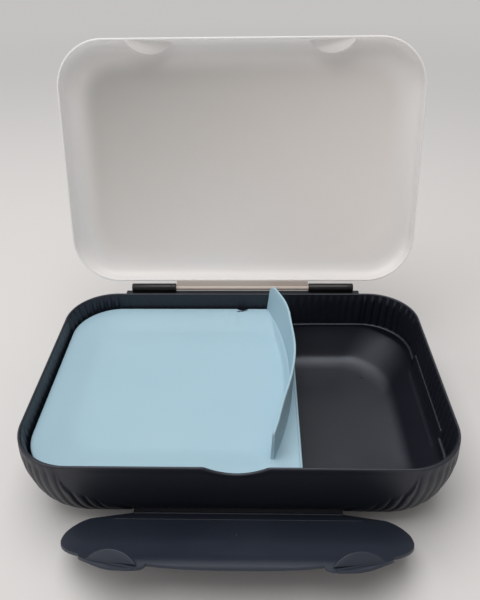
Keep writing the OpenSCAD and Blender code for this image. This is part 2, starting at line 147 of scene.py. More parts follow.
def outline(station, inset):
    """A place on the rounded outline that lies inset from the rim, and its outward direction."""
    side, place = station
    hw, hd = TUB_HALF_W - inset, TUB_HALF_D - inset
    if side == "right":
        return Vector((hw, place * (hd - CORNER_R))), Vector((1, 0))
    if side == "rear":
        return Vector((-place * (hw - CORNER_R), hd)), Vector((0, 1))
    if side == "left":
        return Vector((-hw, -place * (hd - CORNER_R))), Vector((-1, 0))
    if side == "front":
        return Vector((place * (hw - CORNER_R), -hd)), Vector((0, -1))
    corner = ("rear_right", "rear_left", "front_left", "front_right").index(side)
    angle = (corner + place) * pi / 2
    centre = Vector((hw - CORNER_R, hd - CORNER_R))
    if corner in (1, 2):
        centre.x = -centre.x
    if corner in (2, 3):
        centre.y = -centre.y
    outward = Vector((cos(angle), sin(angle)))
    return centre + outward * CORNER_R, outward


def run(side, start, stop, steps, flutes=0):
    """Stations along part of a side, each with its count of flutes."""
    return [((side, mix(start, stop, j / steps)), flutes * j / steps) for j in range(steps)]


def fluted_run(side, start, stop, flutes, points_each=POINTS_PER_FLUTE):
    """A run of whole flutes, followed by a few points each."""
    return run(side, start, stop, flutes * points_each, flutes)


front_edge = 1 - FRONT_FLUTES * FLUTE_PITCH / FRONT_STRAIGHT
tub_stations = (
    fluted_run("right", -1, 1, END_FLUTES)
    + fluted_run("rear_right", 0, 1, CORNER_FLUTES)
    + fluted_run("rear", -1, 1, REAR_FLUTES, REAR_POINTS_PER_FLUTE)
    + fluted_run("rear_left", 0, 1, CORNER_FLUTES)
    + fluted_run("left", -1, 1, END_FLUTES)
    + fluted_run("front_left", 0, 1, CORNER_FLUTES)
    + fluted_run("front", -1, -front_edge, FRONT_FLUTES)
    + run("front", -front_edge, front_edge, PANEL_POINTS)
    + fluted_run("front", front_edge, 1, FRONT_FLUTES)
    + fluted_run("front_right", 0, 1, CORNER_FLUTES)
)


def panel_low(x):
    """Height of the smooth panel's low edge over x."""
    u = min(1.0, max(0.0, (abs(x) - HINGE_HALF) / (PANEL_HALF - HINGE_HALF)))
    if u <= 0:
        return HINGE_Z - PANEL_FOOT
    return HINGE_Z + PANEL_RISE * u**PANEL_RISE_POWER + PANEL_TURN * u**PANEL_TURN_POWER


def on_panel(x, z):
    """1 on the smooth front panel, 0 off it."""
    edge = 1 - ease(PANEL_HALF - PANEL_EDGE, PANEL_HALF + PANEL_EDGE, abs(x))
    return edge * ease(-PANEL_EDGE_Z, PANEL_EDGE_Z, z - panel_low(x))


def notch_drop(station):
    """How far the rim dips at the finger notch."""
    x = abs(outline(station, 0)[0].x)
    if station[0] != "front" or x >= NOTCH_HALF:
        return 0.0
    return NOTCH_DEPTH * (1 - (x / NOTCH_HALF) ** 2)


def in_niche(station):
    """1 along the niche in the right wall, 0 outside it."""
    if station[0] != "right":
        return 0.0
    return 1 - ease(NICHE_HALF - NICHE_BLEND, NICHE_HALF, abs(station[1]) * SIDE_STRAIGHT)


def outer_skin(station, t):
    """A point of the outside, t from 0 at the rim to 1 at the base, and its share of flute."""
    z = TUB_H * (1 - t)
    place, outward = outline(station, hull_inset(z))
    at_front = "front" in station[0] and place.y < PANEL_FRONT_OF
    front = on_panel(place.x, z) if at_front else 0.0
    swell = HULL_BULGE * sin(pi * min(t / BULGE_SHARE, 1)) * (1 - front)
    sunk = mix(PANEL_SUNK_LOW, PANEL_SUNK_HIGH, ease(*PANEL_SUNK_Z, z)) * front * ease(0, PANEL_FROM_RIM, t)
    place = place + outward * (swell - sunk)
    fade = ease(*FLUTE_FROM, t) * (1 - ease(*FLUTE_TO, t)) * (1 - front)
    if station[0] == "rear":
        fade *= REAR_FLUTE_SHARE
    z -= notch_drop(station) * max(0.0, 1 - t / NOTCH_FADE_OUT)
    return place, outward, z, fade


def inner_wall(station, t):
    """A point of the ribbed inside wall, t from 0 at the rim to 1 at the ledge."""
    ledge_z = TUB_H - LEDGE_DEPTH + NICHE_RISE * in_niche(station)
    inset = mix(RIM_WALL, LEDGE_OUTER, t)
    place, outward = outline(station, inset)
    fade = ease(*INNER_FLUTE_FROM, t) * (1 - ease(*INNER_FLUTE_TO, t))
    share = INNER_FLUTE_SHARE[station[0]]
    if station[0] == "rear":
        # Deeper behind the bowl than behind the tray
        share += ease(*PAST_TRAY, place.x)
    z = mix(TUB_H, ledge_z, t) - notch_drop(station) * max(0.0, 1 - t / NOTCH_FADE_IN)
    return place, outward, z, fade * share


def bowl(station, u):
    """A point of the smooth bowl, u from 0 at the ledge's inner edge to 1 at the floor."""
    x = outline(station, 0)[0].x
    niche = in_niche(station)
    open_up = niche * (1 - ease(*NICHE_FOOT, u))
    top = TUB_H - LEDGE_DEPTH + NICHE_RISE * niche * (1 - ease(0, NICHE_TOP, u))
    ledge = mix(LEDGE_INNER, LEDGE_INNER_BOWL, ease(*PAST_TRAY, x))
    right_end = ease(*BOWL_RIGHT, x)
    step = BOWL_STEP + BOWL_STEP_RIGHT * right_end
    draft = BOWL_DRAFT + BOWL_DRAFT_RIGHT * right_end
    wall = draft * max(0.0, u - step) / (BOWL_WALL_FOOT - step)
    turn = (BASE_INSET - ledge + FLOOR_T) * superellipse_wall(u, BOWL_POWER)
    # The deeper of the two, blended where they meet
    apart = (wall - turn) / 2
    blend = BOWL_BLEND * (1 - ease(BOWL_BLEND_OUT, 1, u))
    inset = (wall + turn) / 2 + (apart * apart + BOWL_BLEND**2) ** 0.5 - blend
    place, outward = outline(station, mix(ledge, NICHE_BACK, open_up) + inset)
    return place, outward, mix(top - LEDGE_ROUND, FLOOR_T, u), 0.0


def ledge_lip(station):
    """The ledge's inner edge, where its rounding starts."""
    place, outward, z, _ = bowl(station, 0)
    return place + outward * LEDGE_ROUND, outward, z + LEDGE_ROUND, 0.0


def rim_round(station, a):
    """The rim's rounded edge, a from 0 outside to 1 inside."""
    out_place, outward = outline(station, 0)
    r = RIM_WALL / 2
    place = out_place - outward * (r - r * cos(pi * a))
    return place, outward, TUB_H - r + r * sin(pi * a) - notch_drop(station), 0.0


def ring_faces(count, n, loop=False):
    """Faces through rings of n points, with a fan over each end unless the rings loop."""
    faces = []
    for k in range(count if loop else count - 1):
        a, b = k * n, (k + 1) % count * n
        faces += [(a + j, a + (j + 1) % n, b + (j + 1) % n, b + j) for j in range(n)]
    if not loop:
        last, centre = (count - 1) * n, count * n
        faces += [((j + 1) % n, j, centre) for j in range(n)]
        faces += [(last + j, last + (j + 1) % n, centre + 1) for j in range(n)]
    return faces


def sweep(name, rings, turns):
    """A closed skin through rings of points, with each point's flute facts kept on the mesh."""
    n = len(rings[0])
    points = [p for ring in rings for p in ring]
    vertices = [(p[0].x, p[0].y, p[2]) for p in points]
    vertices += [(0, 0, sum(p[2] for p in ring) / n) for ring in (rings[0], rings[-1])]
    mesh = bpy.data.meshes.new(name)
    mesh.from_pydata(vertices, [], ring_faces(len(rings), n))
    turn = mesh.attributes.new("flute_turn", "FLOAT", "POINT")
    share = mesh.attributes.new("flute_share", "FLOAT", "POINT")
    outward = mesh.attributes.new("outward", "FLOAT_VECTOR", "POINT")
    for k, p in enumerate(points):
        turn.data[k].value = turns[k % n]
        share.data[k].value = p[3]
        outward.data[k].vector = (p[1].x, p[1].y, 0)
    return mesh


def maths(tree, operation, *values):
    """A maths node of the tree, each input a number or another node's socket."""
    node = tree.nodes.new("ShaderNodeMath")
    node.operation = operation
    for socket, value in zip(node.inputs, values):
        if isinstance(value, (int, float)):
            socket.default_value = value
        else:
            tree.links.new(value, socket)
    return node.outputs[0]


def flute_tree():
    """Pushes a skin in along its flutes: a groove wherever flute_turn is whole."""
    tree = bpy.data.node_groups.new("flutes", "GeometryNodeTree")
    tree.is_modifier = True
    face = tree.interface
    inputs = (("Geometry", "Geometry"), ("Depth", "Float"), ("Sharpness", "Float"), ("Finish", "Material"))
    for name, kind in inputs:
        face.new_socket(name, in_out="INPUT", socket_type="NodeSocket" + kind)
    face.new_socket("Geometry", in_out="OUTPUT", socket_type="NodeSocketGeometry")
    nodes, links = tree.nodes, tree.links
    given = nodes.new("NodeGroupInput")
    out = nodes.new("NodeGroupOutput")

    def kept(name, kind):
        """A value that sweep() kept on the mesh."""
        node = nodes.new("GeometryNodeInputNamedAttribute")
        node.data_type = kind
        node.inputs["Name"].default_value = name
        return node.outputs["Attribute"]

    wave = maths(tree, "COSINE", maths(tree, "MULTIPLY", kept("flute_turn", "FLOAT"), 2 * pi))
    groove = maths(tree, "POWER", maths(tree, "MULTIPLY_ADD", wave, 0.5, 0.5), given.outputs["Sharpness"])
    shared = maths(tree, "MULTIPLY", groove, kept("flute_share", "FLOAT"))
    pushed = maths(tree, "MULTIPLY", shared, given.outputs["Depth"])
    inward = nodes.new("ShaderNodeVectorMath")
    inward.operation = "SCALE"
    links.new(kept("outward", "FLOAT_VECTOR"), inward.inputs["Vector"])
    links.new(maths(tree, "MULTIPLY", pushed, -1), inward.inputs["Scale"])
    move = nodes.new("GeometryNodeSetPosition")
    real = nodes.new("GeometryNodeRealizeInstances")
    finish = nodes.new("GeometryNodeSetMaterial")
    links.new(given.outputs["Geometry"], move.inputs["Geometry"])
    links.new(inward.outputs[0], move.inputs["Offset"])
    links.new(move.outputs["Geometry"], real.inputs["Geometry"])
    links.new(real.outputs["Geometry"], finish.inputs["Geometry"])
    links.new(given.outputs["Finish"], finish.inputs["Material"])
    links.new(finish.outputs["Geometry"], out.inputs["Geometry"])
    return tree


def set_input(modifier, name, value):
    """Sets a geometry nodes modifier's input by its socket's identifier."""
    for item in modifier.node_group.interface.items_tree:
        if item.name == name and item.in_out == "INPUT":
            modifier[item.identifier] = value


def solid_piece(name, mesh):
    """A new object in the scene that holds the mesh."""
    piece = bpy.data.objects.new(name, mesh)
    bpy.context.scene.collection.objects.link(piece)
    return piece


def made_plain(piece):
    """The piece with its modifiers worked out into its mesh."""
    bpy.context.view_layer.update()
    graph = bpy.context.evaluated_depsgraph_get()
    mesh = bpy.data.meshes.new_from_object(piece.evaluated_get(graph))
    piece.modifiers.clear()
    piece.data = mesh
    return piece


def smooth(piece, sharp_over=35):
    """Shades a piece smooth, with edges over this angle in degrees kept sharp."""
    piece.data.shade_smooth()
    piece.data.set_sharp_from_angle(angle=radians(sharp_over))
    return piece


def joined_rings(name, rings, loop=False):
    """A closed mesh through rings of points: a fan over each end, or end joined to start."""
    n = len(rings[0])
    vertices = [p for ring in rings for p in ring]
    if not loop:
        vertices += [[sum(p[k] for p in ring) / n for k in range(3)] for ring in (rings[0], rings[-1])]
    mesh = bpy.data.meshes.new(name)
    mesh.from_pydata(vertices, [], ring_faces(len(rings), n, loop))
    shape = bmesh.new()
    shape.from_mesh(mesh)
    bmesh.ops.recalc_face_normals(shape, faces=shape.faces)
    shape.to_mesh(mesh)
    shape.free()
    return solid_piece(name, mesh)


def circle(r, steps):
    """Places round a circle about the origin, as pairs."""
    return [(r * cos(2 * pi * k / steps), r * sin(2 * pi * k / steps)) for k in range(steps)]


def as_one(name, *parts):
    """Several closed shapes kept in one mesh."""
    shape = bmesh.new()
    for part in parts:
        shape.from_mesh(part.data)
        bpy.data.objects.remove(part)
    mesh = bpy.data.meshes.new(name)
    shape.to_mesh(mesh)
    shape.free()
    return solid_piece(name, mesh)


def dressed(piece, material, body, slot, *nodes):
    """Gives a finished piece its plastic, its body and the solids that it stands for."""
    piece.data.materials.clear()
    piece.data.materials.append(material)
    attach(piece, body)
    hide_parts(*nodes)


CLOUD_DETAIL, GRAIN_DETAIL = 3, 2
CLOUD_SPREAD = (0.3, 0.7)
GRAIN_HEIGHT = 0.0002


def moulded_skin():
    """Moulded plastic's faint unevenness: cloudy tone, gloss that varies, and a fine grain."""
    group = bpy.data.node_groups.new("moulded skin", "ShaderNodeTree")
    face = group.interface
    for name in ("Cloud Size", "Grain Size", "Rough Low", "Rough High"):
        face.new_socket(name, in_out="INPUT", socket_type="NodeSocketFloat")
    for name in ("Tone", "Roughness", "Height"):
        face.new_socket(name, in_out="OUTPUT", socket_type="NodeSocketFloat")
    nodes, links = group.nodes, group.links
    given, out = nodes.new("NodeGroupInput"), nodes.new("NodeGroupOutput")
    where = nodes.new("ShaderNodeTexCoord").outputs["Object"]
    cloud = nodes.new("ShaderNodeTexNoise")
    cloud.inputs["Detail"].default_value = CLOUD_DETAIL
    links.new(where, cloud.inputs["Vector"])
    links.new(given.outputs["Cloud Size"], cloud.inputs["Scale"])
    grain = nodes.new("ShaderNodeTexNoise")
    grain.inputs["Detail"].default_value = GRAIN_DETAIL
    links.new(where, grain.inputs["Vector"])
    links.new(given.outputs["Grain Size"], grain.inputs["Scale"])
    rough = nodes.new("ShaderNodeMapRange")
    links.new(cloud.outputs["Fac"], rough.inputs["Value"])
    rough.inputs["From Min"].default_value = CLOUD_SPREAD[0]
    rough.inputs["From Max"].default_value = CLOUD_SPREAD[1]
    links.new(given.outputs["Rough Low"], rough.inputs["To Min"])
    links.new(given.outputs["Rough High"], rough.inputs["To Max"])
    links.new(cloud.outputs["Fac"], out.inputs["Tone"])
    links.new(rough.outputs["Result"], out.inputs["Roughness"])
    links.new(grain.outputs["Fac"], out.inputs["Height"])
    return group


moulded = moulded_skin()


def moulded_plastic(
    name, dark, light, rough, cloud=20.0, grain=2500.0, bump=0.08, specular=0.5, tint=(1, 1, 1)
):
    """A plastic whose tone drifts between two near colours over a faint moulded grain."""
    material = bpy.data.materials.new(name)
    material.use_nodes = True
    nodes, links = material.node_tree.nodes, material.node_tree.links
    shader = nodes["Principled BSDF"]
    skin = nodes.new("ShaderNodeGroup")
    skin.node_tree = moulded
    skin.inputs["Cloud Size"].default_value = cloud
    skin.inputs["Grain Size"].default_value = grain
    skin.inputs["Rough Low"].default_value = rough[0]
    skin.inputs["Rough High"].default_value = rough[1]
    tone = nodes.new("ShaderNodeMix")
    tone.data_type = "RGBA"
    tone.inputs["A"].default_value = (*dark, 1)
    tone.inputs["B"].default_value = (*light, 1)
    links.new(skin.outputs["Tone"], tone.inputs["Factor"])
    links.new(tone.outputs["Result"], shader.inputs["Base Color"])
    links.new(skin.outputs["Roughness"], shader.inputs["Roughness"])
    relief = nodes.new("ShaderNodeBump")
    relief.inputs["Strength"].default_value = bump
    relief.inputs["Distance"].default_value = GRAIN_HEIGHT
    links.new(skin.outputs["Height"], relief.inputs["Height"])
    links.new(relief.outputs["Normal"], shader.inputs["Normal"])
    shader.inputs["Specular IOR Level"].default_value = specular
    shader.inputs["Specular Tint"].default_value = (*tint, 1)
    return material


navy_plastic = moulded_plastic(
    "navy polypropylene", (0.0038, 0.0046, 0.0090), (0.006, 0.007, 0.0130), (0.40, 0.5),
    specular=0.65, tint=(0.86, 0.91, 1),
)

# Where the grooves fall on each side, as a share of a flute from the side's start
RIGHT_PHASE, REAR_PHASE, LEFT_PHASE = -0.2, 0.5, 0.24
OUTER_RINGS, OUTER_CROWDING = 36, 0.8
RIM_RINGS = 6
WALL_RINGS, WALL_START = 12, 0.02
BOWL_RINGS, BOWL_CROWDING = 34, 1.2
FLOOR_SHARES = (0.3, 0.65, 0.9)
FLUTE_DEPTH = 0.0009
FLUTE_SHARPNESS = 2.4
# The mould's gate leaves a small raised mark on the bowl's floor
GATE_MARK_X, GATE_MARK_Y = 0.0908, 0.0495
GATE_MARK_RINGS = ((0.0017, 0.0022), (0.0015, 0.0032), (0.0009, 0.0034), (0.0003, 0.0033))


def groove_phase(station):
    """Where the grooves fall on the station's side. Each half of the front follows its corner."""
    side, place = station
    if side == "rear":
        return REAR_PHASE
    on_right = "right" in side or (side == "front" and place > 0)
    return RIGHT_PHASE if on_right else LEFT_PHASE


def shrunk(ring, share):
    """The ring drawn towards the middle of the floor."""
    return [(p[0] * share, p[1], p[2], 0.0) for p in ring]


def swept(skin, shares):
    """Rings of the tub at these shares of one of its skins."""
    return [[skin(station, share) for station, _ in tub_stations] for share in shares]


turns = [turn - groove_phase(station) for station, turn in tub_stations]
outer_shares = [(k / OUTER_RINGS) ** OUTER_CROWDING for k in range(OUTER_RINGS, 0, -1)]
bowl_shares = [(k / BOWL_RINGS) ** BOWL_CROWDING for k in range(BOWL_RINGS + 1)]
outside = swept(outer_skin, outer_shares)
inside = swept(bowl, bowl_shares)
tub_rings = [shrunk(outside[0], share) for share in FLOOR_SHARES] + outside
tub_rings += swept(rim_round, [a / RIM_RINGS for a in range(RIM_RINGS + 1)])
tub_rings += swept(inner_wall, [mix(WALL_START, 1, k / WALL_RINGS) for k in range(WALL_RINGS + 1)])
tub_rings += [[ledge_lip(station) for station, _ in tub_stations]]
tub_rings += inside + [shrunk(inside[-1], share) for share in reversed(FLOOR_SHARES)]

tub = solid_piece("tub_shell", sweep("tub_shell", tub_rings, turns))
fluted = tub.modifiers.new("flutes", "NODES")
fluted.node_group = flute_tree()
set_input(fluted, "Depth", FLUTE_DEPTH)
set_input(fluted, "Sharpness", FLUTE_SHARPNESS)
set_input(fluted, "Finish", navy_plastic)
gate_mark = joined_rings("gate_mark", [
    [(GATE_MARK_X + a, GATE_MARK_Y + b, z) for a, b in circle(r, 20)] for r, z in GATE_MARK_RINGS
])
tub = as_one("tub_shell", made_plain(tub), gate_mark)
dressed(smooth(tub, 50), navy_plastic, "base", "tub_navy", "tub")

# ---------------------------------------------------------------- hinge shelf and clips
# A thin shelf moulded behind the rear rim carries two black clips, each a split barrel
# pressed on to it, in which the lid's pins turn. Each barrel is swept along X.
joint_at = {j["name"]: Vector(j["pos_m"]) for j in frame["joints"]}
joint_turn = {j["name"]: radians(j["range_deg"][1]) for j in frame["joints"]}
lid_axis = joint_at["lid_hinge"]
SHELF_EDGE_R = 0.0005
CLIP_R = 0.0034
PIN_BORE = 0.00186
CLIP_STEPS = 48
# Each barrel has rounded ends and one fine moulded seam near its right end
CLIP_END_R, CLIP_END_MID = 0.0005, 0.00015
CLIP_SEAM_FROM_END = 0.0036
CLIP_SEAM_HALF, CLIP_SEAM_FLOOR, CLIP_SEAM_DEPTH = 0.0003, 0.0001, 0.0003
# The foot that grips the shelf reaches this far behind the axis and up into the barrel
FOOT_GAP, FOOT_SUNK = 0.0002, 0.0001
FOOT_BEHIND, FOOT_UP = 0.0012, 0.0013
FOOT_EDGE_R = 0.0003
clip_black = moulded_plastic(
    "black hinge plastic", (0.003, 0.0029, 0.003), (0.006, 0.0056, 0.0058), (0.3, 0.42), specular=0.35
)


def edge_rounded(piece, width, segments=3, angle=40):
    """Rounds a piece's edges over this angle in degrees."""
    bevel = piece.modifiers.new("rounded edges", "BEVEL")
    bevel.width = width
    bevel.segments = segments
    bevel.limit_method = "ANGLE"
    bevel.angle_limit = radians(angle)
    return piece


def block(name, low, high):
    """A closed block between two corners, for rounding or cutting."""
    mesh = bpy.data.meshes.new(name)
    shape = bmesh.new()
    bmesh.ops.create_cube(shape, size=1)
    for vertex in shape.verts:
        vertex.co = Vector([mix(low[k], high[k], vertex.co[k] + 0.5) for k in range(3)])
    shape.to_mesh(mesh)
    shape.free()
    return solid_piece(name, mesh)


shelf_low, shelf_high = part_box("hinge_shelf")
shelf = made_plain(edge_rounded(block("rear_shelf", shelf_low, shelf_high), SHELF_EDGE_R))
dressed(smooth(shelf), navy_plastic, "base", "tub_navy", "hinge_shelf")

for clip_name in ("hinge_clip_left", "hinge_clip_right"):
    low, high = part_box(clip_name)
    seam = high[0] - CLIP_SEAM_FROM_END
    sections = (
        (low[0], PIN_BORE), (low[0], CLIP_R - CLIP_END_R),
        (low[0] + CLIP_END_MID, CLIP_R - CLIP_END_MID), (low[0] + CLIP_END_R, CLIP_R),
        (seam - CLIP_SEAM_HALF, CLIP_R), (seam - CLIP_SEAM_FLOOR, CLIP_R - CLIP_SEAM_DEPTH),
        (seam + CLIP_SEAM_FLOOR, CLIP_R - CLIP_SEAM_DEPTH), (seam + CLIP_SEAM_HALF, CLIP_R),
        (high[0] - CLIP_END_R, CLIP_R), (high[0] - CLIP_END_MID, CLIP_R - CLIP_END_MID),
        (high[0], CLIP_R - CLIP_END_R), (high[0], PIN_BORE),
    )
    barrel = joined_rings(clip_name + "_barrel", [
        [(x, lid_axis.y + a, lid_axis.z + b) for a, b in circle(r, CLIP_STEPS)] for x, r in sections
    ], loop=True)
    foot = block(
        clip_name + "_foot",
        (low[0] + FOOT_GAP, shelf_low[1] + FOOT_GAP, shelf_high[2] - FOOT_SUNK),
        (high[0] - FOOT_GAP, lid_axis.y + FOOT_BEHIND, lid_axis.z - CLIP_R + FOOT_UP),
    )
    foot = made_plain(edge_rounded(foot, FOOT_EDGE_R, 2))
    clip = as_one(clip_name + "_split", barrel, foot)
    dressed(smooth(clip, 30), clip_black, "base", "clip_black", clip_name)

# ---------------------------------------------------------------- lid
# The lid is one thin frosted moulding, a shallow dome with two crescent pockets along its
# front edge for the latch hooks. It is swept shut over the rim, cut, then turned open.
LID_H = 0.0128
LID_T = 0.0013
LID_OVER = 0.0007
LID_GAP = 0.0003
LID_EDGE_R = 0.0005
LID_EDGE_IN, LID_EDGE_PAST = LID_EDGE_R * 0.8, LID_EDGE_R * 1.2
LID_EDGE_MID = 0.3
# How far the dome has drawn in at each share of its height
LID_SECTION = (
    (0, 0), (0.00025, 0.25), (0.0011, 0.55), (0.0034, 0.8), (0.0075, 0.93), (0.013, 0.98), (0.024, 1)
)
SECTION_STEPS = 26
CUT_CLEAR = 0.00001
# The latch hooks and the crescent pockets that they click into
HOOK_X = 0.0625
HOOK_SLOPE = radians(12)
HOOK_W = 0.028
HOOK_REACH = 0.0058
HOOK_T = 0.0016
POCKET_CLEAR = 0.0019
POCKET_W = HOOK_W + 2 * POCKET_CLEAR
POCKET_REACH = HOOK_REACH + 0.0036
LID_LOW = TUB_H + LID_GAP
POCKET_FLOOR = LID_LOW + 0.0044
POCKET_CUT_H, POCKET_CUT_BACK = 0.03, 0.003


def turned_about(axis, angle):
    """A turn about a joint's axis, which lies along X."""
    return Matrix.Translation(axis) @ Matrix.Rotation(angle, 4, "X") @ Matrix.Translation(-axis)


def through(points, t):
    """A smooth curve through a few points, t from 0 to 1."""
    n = len(points) - 1
    k = min(int(t * n), n - 1)
    f = t * n - k
    p0, p1, p2, p3 = (points[max(0, min(n, k + d))] for d in (-1, 0, 1, 2))
    return [
        0.5 * (2 * b + (c - a) * f + (2 * a - 5 * b + 4 * c - d) * f * f + (3 * b - a - 3 * c + d) * f**3)
        for a, b, c, d in zip(p0, p1, p2, p3)
    ]


lid_stations = [
    station
    for side, steps in (
        ("right", 14), ("rear_right", 24), ("rear", 20), ("rear_left", 24),
        ("left", 14), ("front_left", 24), ("front", 20), ("front_right", 24),
    )
    for station, _ in run(side, 0 if "_" in side else -1, 1, steps)
]


def dome(name, shrink, low, high, edge_in):
    """The lid's skin drawn in by shrink, its open edge turned in by edge_in."""
    rings = []
    sections = [(edge_in, 0), (edge_in * LID_EDGE_MID, LID_EDGE_R * LID_EDGE_MID), (0, LID_EDGE_R)]
    for k in range(SECTION_STEPS + 1):
        inset, share = through(LID_SECTION, k / SECTION_STEPS)
        height = share * (high - low)
        if height > LID_EDGE_PAST:
            sections.append((inset, height))
    for inset, height in sections:
        ring = []
        for station in lid_stations:
            place, outward = outline(station, 0)
            place = place + outward * (LID_OVER - shrink - inset)
            ring.append((place.x, place.y, low + height))
        rings.append(ring)
    return joined_rings(name, rings)


def hook_place(side, z, forward=0.0):
    """Where a hook or its pocket lies: against the lid's front, sloping down outwards."""
    return (
        Matrix.Translation((side * HOOK_X, -TUB_HALF_D - LID_OVER, z))
        @ Matrix.Rotation(side * HOOK_SLOPE, 4, "Y")
        @ Matrix.Translation((0, -forward, 0))
    )


def prism(name, low_ring, high_ring):
    """A closed prism between two flat rings of the same count."""
    mesh = bpy.data.meshes.new(name)
    shape = bmesh.new()
    low = [shape.verts.new(p) for p in low_ring]
    high = [shape.verts.new(p) for p in high_ring]
    for k in range(len(low)):
        m = (k + 1) % len(low)
        shape.faces.new((low[k], low[m], high[m], high[k]))
    shape.faces.new(low)
    shape.faces.new(high)
    bmesh.ops.recalc_face_normals(shape, faces=shape.faces)
    shape.to_mesh(mesh)
    shape.free()
    return solid_piece(name, mesh)


def lens_prism(name, place, width, reach, height, back=0.0, steps=24):
    """A lens seen from above: a straight chord, carried back a little, and an arc."""
    r = (width * width / 4 + reach * reach) / (2 * reach)
    half = atan2(width / 2, r - reach)
    plan = [
        (r * sin(a), reach - r + r * cos(a))
        for a in (half * (1 - k / steps) for k in range(2 * steps + 1))
    ]
    if back:
        plan = [(width / 2, -back)] + plan + [(-width / 2, -back)]
    return prism(name, *[[place @ Vector((x, y, z)) for x, y in plan] for z in (0, height)])


def cut(piece, tool, operation="DIFFERENCE"):
    """Cuts the tool's shape out of the piece, or keeps only what they share."""
    boolean = piece.modifiers.new("cut", "BOOLEAN")
    boolean.operation = operation
    boolean.solver = "EXACT"
    boolean.object = tool
    made_plain(piece)
    bpy.data.objects.remove(tool)
    return piece


lid = dome("lid_shell", 0, LID_LOW, TUB_H + LID_H, LID_EDGE_IN)
hollow = dome("lid_hollow", LID_T, LID_LOW - CUT_CLEAR, TUB_H + LID_H - LID_T, -LID_EDGE_IN)
for side in (-1, 1):
    cut(hollow, lens_prism(
        "pocket_wall", hook_place(side, POCKET_FLOOR - LID_T),
        POCKET_W + 2 * LID_T, POCKET_REACH + LID_T, POCKET_CUT_H, POCKET_CUT_BACK,
    ))
cut(lid, hollow)
for side in (-1, 1):
    cut(lid, lens_prism(
        "pocket", hook_place(side, POCKET_FLOOR),
        POCKET_W, POCKET_REACH, POCKET_CUT_H, POCKET_CUT_BACK,
    ))
lid.data.transform(turned_about(lid_axis, -joint_turn["lid_hinge"]))

# Painted light on the frosting: a paler band round the dome's shoulder, and a lighter, warmer tone towards
# the right and the hinge
SHOULDER_CORNER_R = 0.05
SHOULDER_FROM, SHOULDER_TO = 0.026, 0.002
PAINTED_SHOULDER_TONE = (0.72, 0.69, 0.675, 1)
PAINTED_LIGHT_TONE = (0.82, 0.75, 0.71, 1)
PAINTED_LIGHT_ACROSS, PAINTED_LIGHT_ALONG, PAINTED_LIGHT_MIDDLE = 2.3, 4.2, 0.55
FROST_SCATTER, FROST_SCATTER_SCALE = 0.6, 0.008


def frosted_plastic():
    """Milky translucent plastic with painted light: paler where its wall turns edge-on, duller over the
    flat, lighter and warmer towards the right and the hinge.
    """
    material = moulded_plastic(
        "frosted polypropylene", (0.27, 0.262, 0.25), (0.33, 0.321, 0.307), (0.42, 0.55), 7.0, 1800.0, 0.05
    )
    tree = material.node_tree
    nodes, links = tree.nodes, tree.links
    shader = nodes["Principled BSDF"]
    tone = shader.inputs["Base Color"].links[0].from_socket

    def past(value, straight):
        """How far a place lies past the straight stretch, cubed."""
        beyond = maths(tree, "SUBTRACT", maths(tree, "ABSOLUTE", value), straight)
        return maths(tree, "POWER", maths(tree, "MAXIMUM", beyond, 0), 3)

    def toned(factor, under, over):
        """One tone laid over another by a factor."""
        mixed = nodes.new("ShaderNodeMix")
        mixed.data_type = "RGBA"
        mixed.inputs["B"].default_value = over
        links.new(factor, mixed.inputs["Factor"])
        links.new(under, mixed.inputs["A"])
        return mixed.outputs["Result"]

    # The lid's own axes: turned back to where it lies shut
    turned_back = turned_about(lid_axis, joint_turn["lid_hinge"])
    where = nodes.new("ShaderNodeTexCoord")
    shut = nodes.new("ShaderNodeMapping")
    shut.inputs["Location"].default_value = turned_back.to_translation()
    shut.inputs["Rotation"].default_value = turned_back.to_euler()
    links.new(where.outputs["Object"], shut.inputs["Vector"])
    split = nodes.new("ShaderNodeSeparateXYZ")
    links.new(shut.outputs["Vector"], split.inputs["Vector"])
    x, y = split.outputs["X"], split.outputs["Y"]
    out_x = past(x, TUB_HALF_W - SHOULDER_CORNER_R)
    out_y = past(y, TUB_HALF_D - SHOULDER_CORNER_R)
    from_middle = maths(tree, "POWER", maths(tree, "ADD", out_x, out_y), 1 / 3)
    # Painted light: a paler band round the dome's shoulder, where the wall turns edge-on
    shoulder_light = nodes.new("ShaderNodeMapRange")
    shoulder_light.interpolation_type = "SMOOTHERSTEP"
    shoulder_light.inputs["From Min"].default_value = SHOULDER_CORNER_R - SHOULDER_FROM
    shoulder_light.inputs["From Max"].default_value = SHOULDER_CORNER_R - SHOULDER_TO
    links.new(from_middle, shoulder_light.inputs["Value"])
    # Painted light: the lid is drawn lighter and warmer towards the right and the hinge
    across_lid = maths(tree, "MULTIPLY", x, PAINTED_LIGHT_ACROSS)
    along_lid = maths(tree, "MULTIPLY", y, PAINTED_LIGHT_ALONG)
    painted_light = maths(tree, "ADD", maths(tree, "ADD", across_lid, along_lid), PAINTED_LIGHT_MIDDLE)
    painted_lit_tone = toned(painted_light, tone, PAINTED_LIGHT_TONE)
    links.new(toned(shoulder_light.outputs["Result"], painted_lit_tone, PAINTED_SHOULDER_TONE), shader.inputs["Base Color"])
    shader.inputs["Subsurface Weight"].default_value = FROST_SCATTER
    shader.inputs["Subsurface Radius"].default_value = (1, 1, 1)
    shader.inputs["Subsurface Scale"].default_value = FROST_SCATTER_SCALE
    return material


frosted = frosted_plastic()
dressed(smooth(lid, 32), frosted, "lid", "frosted", "lid")
warm_frosted = moulded_plastic(
    "frosted bar", (0.50, 0.42, 0.37), (0.57, 0.485, 0.43), (0.45, 0.6), 12.0, 1800.0, 0.04, 0.3
)
hinge_bar = frame["nodes"]["lid_hinge_bar"]
hinge_bar.data.materials.clear()
hinge_bar.data.materials.append(warm_frosted)

